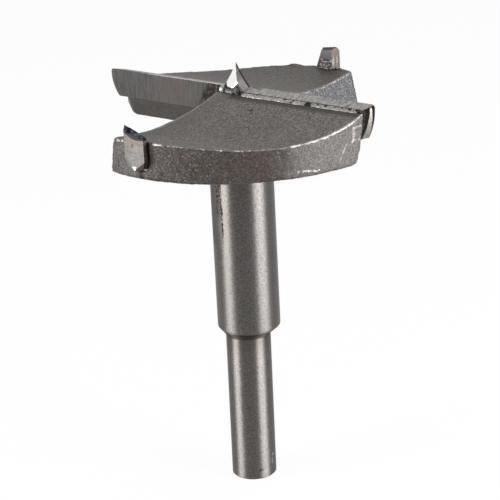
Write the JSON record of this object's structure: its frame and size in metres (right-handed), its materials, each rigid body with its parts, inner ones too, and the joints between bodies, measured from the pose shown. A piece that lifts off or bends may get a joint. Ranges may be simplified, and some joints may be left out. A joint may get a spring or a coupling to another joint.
{
  "type": "forstner bit",
  "caption": "Forstner-type boring bit with a centre point, two brazed carbide cutting blades, two scoring spurs on the rim and a plain round shank.",
  "frame": {"origin": "centre of the flat end of the shank", "axes": "+Z along the turning axis towards the centre point, +X along the blade that carries the point, +Y the way that blade leads in the cut"},
  "size_m": [0.0706, 0.0704, 0.0961],
  "materials": {
    "forged_steel": "head shot-blasted and dull, stem and shank turned",
    "carbide": "ground, satin",
    "braze": "silver braze, run and pitted, with dark flux in the gaps"
  },
  "bodies": {
    "root": {"bit_body": "forged_steel", "point_blade": "carbide", "plain_blade": "carbide", "front_spur": "carbide", "rear_spur": "carbide", "point_braze": "braze", "plain_braze": "braze", "front_braze": "braze", "rear_braze": "braze", "rear_lump": "braze"}
  },
  "joints": []
}
